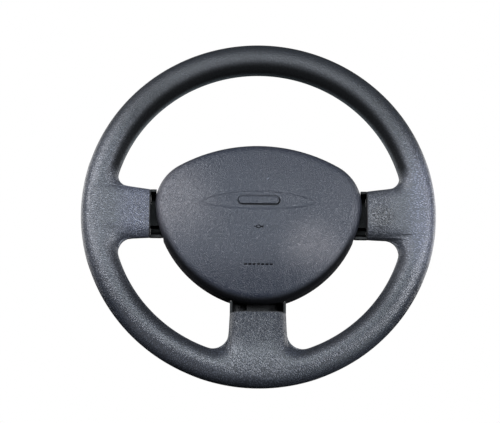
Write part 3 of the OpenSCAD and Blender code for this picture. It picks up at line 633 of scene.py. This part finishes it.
def rim_foam_material():
    """Dark grey integral-skin foam: grain drawn slantwise across the rim, rounder on the spokes."""
    material, shader, w, place = shaded("rim_foam", colour(36, 39, 47), 0.38)
    x, depth, z, spread = w.places(place)
    beside_x, beside_z = w.math("ABSOLUTE", x), w.math("ABSOLUTE", z)
    ring = RIM_RING_R / 1000
    drawn = w.math("DIVIDE", w.math("ADD", w.math("MULTIPLY", spread, 0.45), ring * 0.55), spread)
    along = w.add("CombineXYZ", X=w.math("MULTIPLY", x, drawn),
        Y=w.math("MULTIPLY", depth, 0.45), Z=w.math("MULTIPLY", z, drawn)).outputs[0]
    on_rim = w.ramp(spread, 0.130, 0.156)
    across = w.group(GROUPS["leather"], Vector=along, **{"Cells per metre": 620.0,
        "Waviness": 0.8})
    slant = w.add("Mapping", {"vector_type": "TEXTURE"}, Vector=place,
        Rotation=(0, math.radians(-48), 0), Scale=(1.0, 1.0, 1.9)).outputs[0]
    round_cells = w.group(GROUPS["leather"], Vector=slant, **{"Cells per metre": 720.0,
        "Waviness": 0.8})
    height = w.mix_values(on_rim, w.math("MULTIPLY", round_cells["Height"], 1.7),
        w.math("MULTIPLY", across["Height"], 0.8))
    crease = w.mix_values(on_rim, round_cells["Crease"], across["Crease"])
    patches = w.group(GROUPS["handled"], Vector=place, **{"Patch per metre": 22.0})
    # Deep worn creases on the lower half of the right spoke
    off_worn = w.vector("SUBTRACT", place, WORN_AT)
    worn = w.ramp(w.length(w.vector("MULTIPLY", off_worn, (1.0, 0.5, 1.15))), WORN_REACH, 0.007)
    deep = w.group(GROUPS["leather"], Vector=place, **{"Cells per metre": 330.0, "Waviness": 1.4})
    height = w.mix_values(w.math("MULTIPLY", worn, 0.8), height,
        w.math("MULTIPLY", deep["Height"], 1.9))
    # A thin line all round where the mould closes
    from_plane = w.math("ABSOLUTE", w.math("ADD", depth, RIM_PLANE_Z / 1000))
    seam = w.math("MULTIPLY", w.ramp(from_plane, 0.0006, 0.0001), on_rim)
    height = w.math("ADD", height, w.math("MULTIPLY", seam, 0.8))
    base = w.mix(patches["Patch"], colour(34, 38, 46), colour(42, 45, 52))
    # Painted shade: the top of the rim is darker
    top = w.ramp(z, 0.040, 0.130)
    base = w.mix(w.math("MULTIPLY", top, 0.85), base, colour(18, 22, 27))
    # Painted light: both sides of the wheel are lighter, and its foot a little
    painted_side_light = w.math("MULTIPLY", w.ramp(beside_x, 0.075, 0.150), w.ramp(beside_z, 0.105, 0.040))
    painted_side_light = w.math("MAXIMUM", painted_side_light, w.ramp(z, -0.100, -0.155, 0.0, 0.35))
    base = w.mix(painted_side_light, base, colour(72, 74, 80))
    # Painted highlights: the left spoke and the right side of the rim are lighter
    left_spoke_highlight = w.math("MULTIPLY", w.ramp(x, -0.090, -0.115), w.math("SUBTRACT", 1.0, on_rim))
    right_rim_highlight = w.math("MULTIPLY", w.ramp(x, 0.148, 0.168), w.ramp(beside_z, 0.080, 0.030))
    base = w.mix(w.math("MULTIPLY", w.math("MAXIMUM", left_spoke_highlight, right_rim_highlight), 0.8), base,
        colour(96, 99, 112))
    # Painted shade in the grain's creases, darker still in the worn creases on the right spoke
    base = w.group(GROUPS["creases"], Colour=base, Crease=crease, Amount=0.75,
        Dark=colour(8, 9, 12))["Colour"]
    base = w.group(GROUPS["creases"], Colour=base, Crease=deep["Crease"], Amount=worn,
        Dark=colour(6, 6, 8))["Colour"]
    # Painted shade: the rim's inner side is dark and hardly shines, but a strip of painted light
    # runs along its innermost edge
    off_spokes = w.math("MULTIPLY", w.ramp(beside_z, 0.030, 0.050),
        w.math("MAXIMUM", w.ramp(beside_x, 0.034, 0.056), w.ramp(z, 0, 0.02)))
    inner_side = w.math("MULTIPLY", w.ramp(spread, 0.1650, 0.1575),
        w.math("MULTIPLY", off_spokes, w.ramp(z, -0.030, 0.050, 0.5, 1.0)))
    innermost = w.ramp(w.math("SUBTRACT", depth, w.math("MULTIPLY", z, 0.022)), -0.0860, -0.0780)
    inner_side = w.math("MULTIPLY", inner_side, w.math("SUBTRACT", 1.0,
        w.math("MULTIPLY", innermost, 0.95)))
    innermost_painted_light = w.math("MULTIPLY", w.math("MULTIPLY", innermost, w.ramp(z, 0.030, 0.080)),
        w.ramp(spread, 0.1590, 0.1560))
    base = w.mix(w.math("MULTIPLY", innermost_painted_light, 0.9), base, colour(74, 82, 84))
    dull = w.group(GROUPS["dull"], Colour=base, Mask=inner_side, Dark=colour(3, 4, 5),
        Darkening=0.92, Dulling=0.75)
    w.put(shader.inputs["Metallic"], dull["Metallic"])
    # The foam's cut ends are matt, and painted dark with the shade under the pad
    side_end = w.math("MULTIPLY", w.ramp(beside_x, 0.1143, 0.1134), w.ramp(z, -0.080, -0.070))
    foot_end = w.math("MULTIPLY", w.ramp(z, -0.1072, -0.1064), w.ramp(z, -0.070, -0.080))
    ends = w.math("MULTIPLY", w.math("MAXIMUM", side_end, foot_end), w.ramp(spread, 0.135, 0.130))
    w.put(shader.inputs["Base Color"], w.mix(ends, dull["Colour"], colour(12, 12, 14)))
    rough = w.math("ADD", w.math("MULTIPLY", patches["Patch"], -0.05), 0.36)
    rough = w.math("ADD", rough, w.math("MULTIPLY", w.math("SUBTRACT", 1.0, crease), 0.1))
    rough = w.math("ADD", rough, w.math("MULTIPLY", top, 0.16))
    rough = w.math("ADD", rough, w.math("MULTIPLY", w.math("MAXIMUM", inner_side, ends), 0.3))
    w.put(shader.inputs["Roughness"], rough)
    bumped(w, shader, height, 0.00021)
    shader.inputs["Specular IOR Level"].default_value = 0.55
    return material


def pad_skin_material():
    """Soft moulded skin, finely grained, a little smoother where hands rest."""
    material, shader, w, place = shaded("pad_skin", colour(94, 98, 108), 0.5)
    long = w.vector("MULTIPLY", place, (0.6, 1.0, 1.0))
    fine = w.group(GROUPS["leather"], Vector=long, **{"Cells per metre": 850.0, "Waviness": 0.8})
    patches = w.group(GROUPS["handled"], Vector=place, **{"Patch per metre": 14.0})
    base = w.mix(patches["Patch"], colour(43, 46, 54), colour(47, 49, 56))
    # Painted light: two broad places on the pad are lighter
    for at, reach in PAD_LIGHT_POOLS:
        off = w.length(w.vector("SUBTRACT", place, at))
        light_pool = w.math("MULTIPLY", w.ramp(off, reach, 0.008),
            w.ramp(patches["Mottle"], 0.36, 0.62, 0.55, 0.95))
        base = w.mix(light_pool, base, colour(82, 80, 83))
    # Painted shade in the grain's creases
    base = w.group(GROUPS["creases"], Colour=base, Crease=fine["Crease"], Amount=0.4,
        Dark=colour(20, 21, 26))["Colour"]
    # Painted shade: the face darkens towards its foot, and the groove round the bar is dark, most
    # below it and to the right
    x, depth, z = w.add("SeparateXYZ", Vector=place).outputs
    base = w.mix(w.ramp(z, -0.035, -0.080), base, colour(17, 21, 32))
    straight, groove_r = (BAR_LENGTH - BAR_HEIGHT) / 2000, BAR_HEIGHT / 2000 + 0.0007
    past = w.math("MAXIMUM", w.math("SUBTRACT", w.math("ABSOLUTE", x), straight), 0.0)
    rise = w.math("SUBTRACT", z, RECESS_Y / 1000)
    groove = w.ramp(w.math("ABSOLUTE", w.math("SUBTRACT", w.hypot(past, rise), groove_r)),
        0.0011, 0.0005)
    under = w.math("SUBTRACT", w.math("MULTIPLY", x, 0.16), rise)
    groove_shade = w.math("MULTIPLY", groove, w.ramp(under, -0.004, 0.004, 0.15, 1.0))
    base = w.mix(groove_shade, base, colour(2, 2, 3))
    # Painted shade: the rounding below the face is dark and hardly shines
    lower = w.math("MULTIPLY", w.ramp(depth, -0.0832, -0.0785), w.ramp(z, -0.005, -0.040))
    dull = w.group(GROUPS["dull"], Colour=base, Mask=lower, Dark=colour(4, 4, 6), Darkening=0.9,
        Dulling=0.7)
    w.put(shader.inputs["Metallic"], dull["Metallic"])
    # A small scuff above the recess
    x, _, z = w.add("SeparateXYZ", Vector=w.add("Mapping", {"vector_type": "TEXTURE"},
        Vector=place, Location=SCUFF_AT,
        Rotation=(0, math.radians(-35), 0)).outputs[0]).outputs
    scuff = w.ramp(w.hypot(w.math("MULTIPLY", x, 0.25), z), 0.00055, 0.0003)
    w.put(shader.inputs["Base Color"], w.mix(w.math("MULTIPLY", scuff, 0.5), dull["Colour"],
        colour(110, 115, 125)))
    rough = w.math("ADD", w.math("MULTIPLY", patches["Patch"], -0.05), 0.38)
    matt = w.math("MAXIMUM", groove_shade, lower)
    w.put(shader.inputs["Roughness"], w.math("ADD", rough, w.math("MULTIPLY", matt, 0.6)))
    bumped(w, shader, fine["Height"], 0.00019)
    shader.inputs["Specular IOR Level"].default_value = 0.4
    return material


def plastic_material(name, main, roughness, depth=0.00006, grains=900.0, gloss=0.5,
        shaded_gaps=0.0):
    material, shader, w, place = shaded(name, main, roughness)
    shader.inputs["Specular IOR Level"].default_value = gloss
    texture = w.group(GROUPS["moulded"], Vector=place, **{"Grains per metre": grains})
    patches = w.group(GROUPS["handled"], Vector=place, **{"Patch per metre": 25.0})
    darker = tuple(c * 0.78 for c in main[:3]) + (1,)
    base = w.mix(texture["Mottle"], darker, main)
    # Painted shade: black where the gap mask is 1
    gaps = w.group(GROUPS["gaps"], Vector=place, Strength=shaded_gaps)
    w.put(shader.inputs["Base Color"], w.mix(gaps["Mask"], base, colour(2, 2, 2)))
    w.put(shader.inputs["Roughness"],
        w.math("ADD", w.math("MULTIPLY", patches["Patch"], 0.12), roughness))
    bumped(w, shader, texture["Height"], depth)
    return material


def metal_material(name, main, roughness, stained, lines=2500.0, depth=0.00002, metallic=1.0):
    material, shader, w, place = shaded(name, main, roughness, metallic)
    streaks = w.group(GROUPS["streaks"], Vector=place, **{"Lines per metre": lines})
    w.put(shader.inputs["Base Color"], w.mix(streaks["Stain"], main, stained))
    rough = w.math("ADD", w.math("MULTIPLY", streaks["Stain"], 0.12), roughness - 0.05)
    w.put(shader.inputs["Roughness"],
        w.math("ADD", rough, w.math("MULTIPLY", streaks["Line"], 0.1)))
    bumped(w, shader, streaks["Line"], depth)
    return material


def casting_material():
    """Rough cast magnesium, coloured near black and lighter in random patches, with painted shade
    where it shows in the gaps.
    """
    material, shader, w, place = shaded("cast_metal", colour(20, 20, 22), 0.6, 0.2)
    texture = w.group(GROUPS["moulded"], Vector=place, **{"Grains per metre": 500.0})
    patches = w.group(GROUPS["handled"], Vector=place, **{"Patch per metre": 60.0})
    base = w.mix(w.math("MULTIPLY", patches["Patch"], 0.5), colour(20, 20, 22), colour(52, 52, 55))
    # Painted shade: black where the gap mask is 1
    gaps = w.group(GROUPS["gaps"], Vector=place, Strength=1.0)
    w.put(shader.inputs["Base Color"], w.mix(gaps["Mask"], base, colour(2, 2, 2)))
    w.put(shader.inputs["Roughness"],
        w.math("ADD", w.math("MULTIPLY", texture["Mottle"], 0.25), 0.42))
    bumped(w, shader, texture["Height"], 0.00012)
    shader.inputs["Specular IOR Level"].default_value = 0.25
    return material


def cloth_material():
    """Tightly woven nylon of the folded bag."""
    material, shader, w, place = shaded("cushion_cloth", colour(206, 205, 196), 0.8)
    warp = w.add("TexWave", {"wave_type": "BANDS", "bands_direction": "X"}, Vector=place,
        Scale=320.0, Distortion=0.3, Detail=1.0)
    weft = w.add("TexWave", {"wave_type": "BANDS", "bands_direction": "Z"}, Vector=place,
        Scale=320.0, Distortion=0.3, Detail=1.0)
    weave = w.math("MAXIMUM", warp.outputs["Fac"], weft.outputs["Fac"])
    crumple = w.add("TexNoise", Vector=place, Scale=70.0, Detail=4.0)
    w.put(shader.inputs["Base Color"], w.mix(weave, colour(186, 185, 176), colour(214, 213, 205)))
    w.put(shader.inputs["Roughness"], w.math("ADD", w.math("MULTIPLY", weave, -0.1), 0.88))
    bumped(w, shader, w.math("ADD", weave, w.math("MULTIPLY", crumple.outputs[0], 6.0)), 0.00015)
    return material


# Small marks on the pad

def marks_on_pad(name, flat_shapes, material):
    """Thin moulded marks that follow the pad's face, a little proud of it."""
    bm = bmesh.new()
    for shape in flat_shapes:
        shape(bm)
    for v in bm.verts:
        v.co.z = pad_height(v.co.x, v.co.y) + MARK_RISE
    bmesh.ops.recalc_face_normals(bm, faces=bm.faces)
    piece = finished(bm, name, material, "airbag_module")
    add_wall(piece, MARK_T)
    return piece


def dash(x, y, length, height):
    def shape(bm):
        made = bmesh.ops.create_grid(bm, x_segments=4, y_segments=1, size=0.5)
        place = Matrix.Translation((x, y, 0)) @ Matrix.Diagonal((length, height, 1, 1))
        bmesh.ops.transform(bm, matrix=place, verts=made["verts"])
    return shape


def oval(x, y, width, height, line):
    def shape(bm):
        ring = bmesh.ops.create_circle(bm, cap_ends=True, segments=28, radius=1)
        place = Matrix.Translation((x, y, 0)) @ Matrix.Diagonal((width / 2, height / 2, 1, 1))
        bmesh.ops.transform(bm, matrix=place, verts=ring["verts"])
        face = ring["verts"][0].link_faces[0]
        bmesh.ops.inset_region(bm, faces=[face], thickness=line, use_boundary=True,
            use_even_offset=True)
        bmesh.ops.delete(bm, geom=[face], context="FACES_ONLY")
    return shape


def bell(x, y, length, height):
    def shape(bm):
        made = bmesh.ops.create_grid(bm, x_segments=3, y_segments=1, size=0.5)
        for v in made["verts"]:
            flare = 0.25 + 0.75 * (v.co.x + 0.5) ** 2
            v.co = Vector((x + v.co.x * length, y + v.co.y * height * flare, 0))
    return shape


# The folded bag

def make_cushion(material):
    """The folded bag: stacked folds of cloth around the inflator, each bulging at its edge."""
    bm = bmesh.new()
    rings = [pad_ring(bm, BAG_INSET + 1.6, BAG_FOOT_Z)]
    for k in range(FOLDS):
        for share, pull in FOLD_EDGE:
            rings.append(pad_ring(bm, BAG_INSET + pull, BAG_FOOT_Z + (k + share) * FOLD_PITCH))
    for shrink, rise in BAG_TOP:
        rings.append(pad_ring(bm, BAG_INSET + shrink, BAG_FOOT_Z + FOLDS * FOLD_PITCH + rise))
    bridge_in_turn(bm, rings)
    bmesh.ops.contextual_create(bm, geom=rings[-1])
    bmesh.ops.contextual_create(bm, geom=rings[0])
    bmesh.ops.remove_doubles(bm, verts=bm.verts, dist=0.01)
    bmesh.ops.recalc_face_normals(bm, faces=bm.faces)
    piece = finished(bm, "folded_bag", material, "airbag_module", 80)
    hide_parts("cushion_pack")
    return piece


# Floor, background and lamps

WORLD_LIGHT = 0.05
COOL, TEAL = (0.97, 1.0, 1.09), (0.88, 1.0, 1.05)
# Soft boxes: direction round the wheel and above it in degrees, distance, size, power, tint
LAMPS = {
    "front_right": (36, 0, 2.0, 0.85, 24, COOL),
    "right": (60, 0, 2.0, 0.85, 28, COOL),
    "high_left": (-36, 20, 2.0, 0.85, 29, COOL),
    "left": (-60, 20, 2.0, 0.85, 28, COOL),
    "above_left": (-12, 20, 2.0, 0.85, 11.5, TEAL),
    "above_right": (12, 20, 2.0, 0.85, 10.5, TEAL),
    "low_right": (50, -40, 0.85, 0.6, 1.6, TEAL),
    "low_left": (-50, -40, 0.85, 0.6, 0.9, COOL),
    "back_right": (132, 14, 2.2, 1.4, 15, (1, 1, 1)),
    "back_left": (-132, 18, 2.2, 1.4, 13, (1, 1, 1)),
}
LAMPS_AIM = Vector((0, -0.06, 0))


def set_floor():
    """A pale floor that takes the wheel's shadow and fades to white far away."""
    bm = bmesh.new()
    bmesh.ops.create_grid(bm, x_segments=1, y_segments=1, size=16)
    bmesh.ops.translate(bm, vec=(0, 0, FLOOR_Z), verts=bm.verts)
    mesh = bpy.data.meshes.new("floor")
    bm.to_mesh(mesh)
    bm.free()
    material, shader, w, place = shaded("pale_floor", colour(242, 242, 242), 0.9)
    x, y, _ = w.add("SeparateXYZ", Vector=place).outputs
    far = w.ramp(w.hypot(x, y), 1.2, 3.5)
    seen = w.add("LightPath").outputs["Is Camera Ray"]
    white = w.add("Emission", Strength=1.0)
    mixed = w.add("MixShader")
    w.put(mixed.inputs[0], w.math("MULTIPLY", far, seen))
    w.put(mixed.inputs[1], shader.outputs[0])
    w.put(mixed.inputs[2], white.outputs[0])
    out = material.node_tree.nodes["Material Output"]
    w.put(out.inputs["Surface"], mixed.outputs[0])
    mesh.materials.append(material)
    floor = bpy.data.objects.new("floor", mesh)
    bpy.context.collection.objects.link(floor)
    floor.visible_diffuse = floor.visible_glossy = False


def set_background():
    """White where the camera sees it, but a faint light that comes only from above."""
    world = bpy.data.worlds.new("studio")
    world.use_nodes = True
    bpy.context.scene.world = world
    tree = world.node_tree
    w = Wires(tree)
    way = w.add("TexCoord").outputs["Generated"]
    _, _, up = w.add("SeparateXYZ", Vector=way).outputs
    glow = w.mix(w.ramp(up, -0.25, 0.75), (0.0, 0.0, 0.0, 1), (1, 1, 1, 1))
    light = tree.nodes["Background"]
    w.put(light.inputs["Color"], glow)
    light.inputs["Strength"].default_value = WORLD_LIGHT
    seen = w.add("LightPath").outputs["Is Camera Ray"]
    white = w.add("Background", Strength=1.0)
    white.inputs["Color"].default_value = (1, 1, 1, 1)
    mixed = w.add("MixShader")
    w.put(mixed.inputs[0], seen)
    w.put(mixed.inputs[1], light.outputs[0])
    w.put(mixed.inputs[2], white.outputs[0])
    w.put(tree.nodes["World Output"].inputs["Surface"], mixed.outputs[0])


def set_lamps():
    for name, (side, above, distance, size, power, tint) in LAMPS.items():
        data = bpy.data.lights.new(name, "AREA")
        data.shape, data.size, data.energy, data.color = "DISK", size, power, tint
        lamp = bpy.data.objects.new(name, data)
        a, e = math.radians(side), math.radians(above)
        back = Vector((math.sin(a) * math.cos(e), -math.cos(a) * math.cos(e), math.sin(e)))
        lamp.location = LAMPS_AIM + back * distance
        lamp.rotation_mode = "QUATERNION"
        lamp.rotation_quaternion = (-back).to_track_quat("-Z", "Y")
        bpy.context.collection.objects.link(lamp)


def dress(nodes, material):
    """Gives CAD nodes a material in all of their slots."""
    for name in nodes:
        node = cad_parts[name]
        if not node.material_slots:
            node.data.materials.append(material)
        for slot in node.material_slots:
            slot.material = material


place_camera()
GROUPS.update(leather=leather_grain_group(), handled=handled_group(), moulded=moulded_group(),
    streaks=streak_group(), gaps=gap_shade_group(), creases=painted_crease_shade_group(),
    dull=painted_shade_side_group())

rim_skin = make_rim_skin(rim_foam_material())
pad_material = pad_skin_material()
make_pad_skin(pad_material)
make_inner_wall(pad_material)
# The marks are coloured near black: painted shade of their moulded relief
mark_shade_material = plastic_material("moulded_marks_shade", colour(4, 4, 6), 0.8, gloss=0.1)
marks_on_pad("horn_sign", [oval(-0.4, HORN_SIGN_Y, 5.6, 3.8, 0.95),
    bell(3.5, HORN_SIGN_Y, 2.4, 4.0), dash(-4.0, HORN_SIGN_Y, 1.7, 0.9)], mark_shade_material)
marks_on_pad("dashes", [dash(DASHES_START + DASHES_PITCH * k, DASHES_Y, DASH_LENGTH,
    DASH_HEIGHT) for k in range(DASHES_COUNT)], mark_shade_material)
make_cushion(cloth_material())

dress(["armature"], casting_material())
dress(["rear_shroud"], plastic_material("shroud_plastic", colour(30, 31, 33), 0.5,
    gloss=0.25, shaded_gaps=1.0))
dress(["hub_insert", "rim_core"], metal_material("hub_steel", colour(150, 150, 152), 0.35,
    colour(118, 114, 108)))
dress(["shroud_screws", "module_bolts"], metal_material("screw_steel", colour(52, 52, 55), 0.42,
    colour(38, 37, 38)))
dress(["guide_screws", "retainer_nuts"], metal_material("gold_steel", colour(188, 172, 118), 0.3,
    colour(164, 148, 104)))
make_springs(metal_material("spring_steel", colour(176, 177, 180), 0.25, colour(140, 138, 136)))
dress(["fixed_contacts", "moving_contacts", "horn_terminal"], metal_material("contact_brass",
    colour(204, 168, 92), 0.3, colour(158, 124, 70)))
dress(["horn_plate", "module_tray", "cushion_retainer", "weld_nuts"],
    metal_material("plated_steel", colour(172, 173, 172), 0.38, colour(150, 148, 140)))
dress(["guide_bushes"], plastic_material("bush_plastic", colour(222, 217, 200), 0.42))
dress(["inflator"], metal_material("inflator_steel", colour(178, 179, 182), 0.32,
    colour(150, 147, 142)))
dress(["squib_socket"], plastic_material("socket_plastic", colour(216, 152, 44), 0.4))
dress(["cover_rivets"], metal_material("rivet_alloy", colour(182, 184, 188), 0.3,
    colour(160, 160, 160)))

set_floor()
set_background()
set_lamps()
scene = bpy.context.scene
scene.view_settings.view_transform = "Standard"
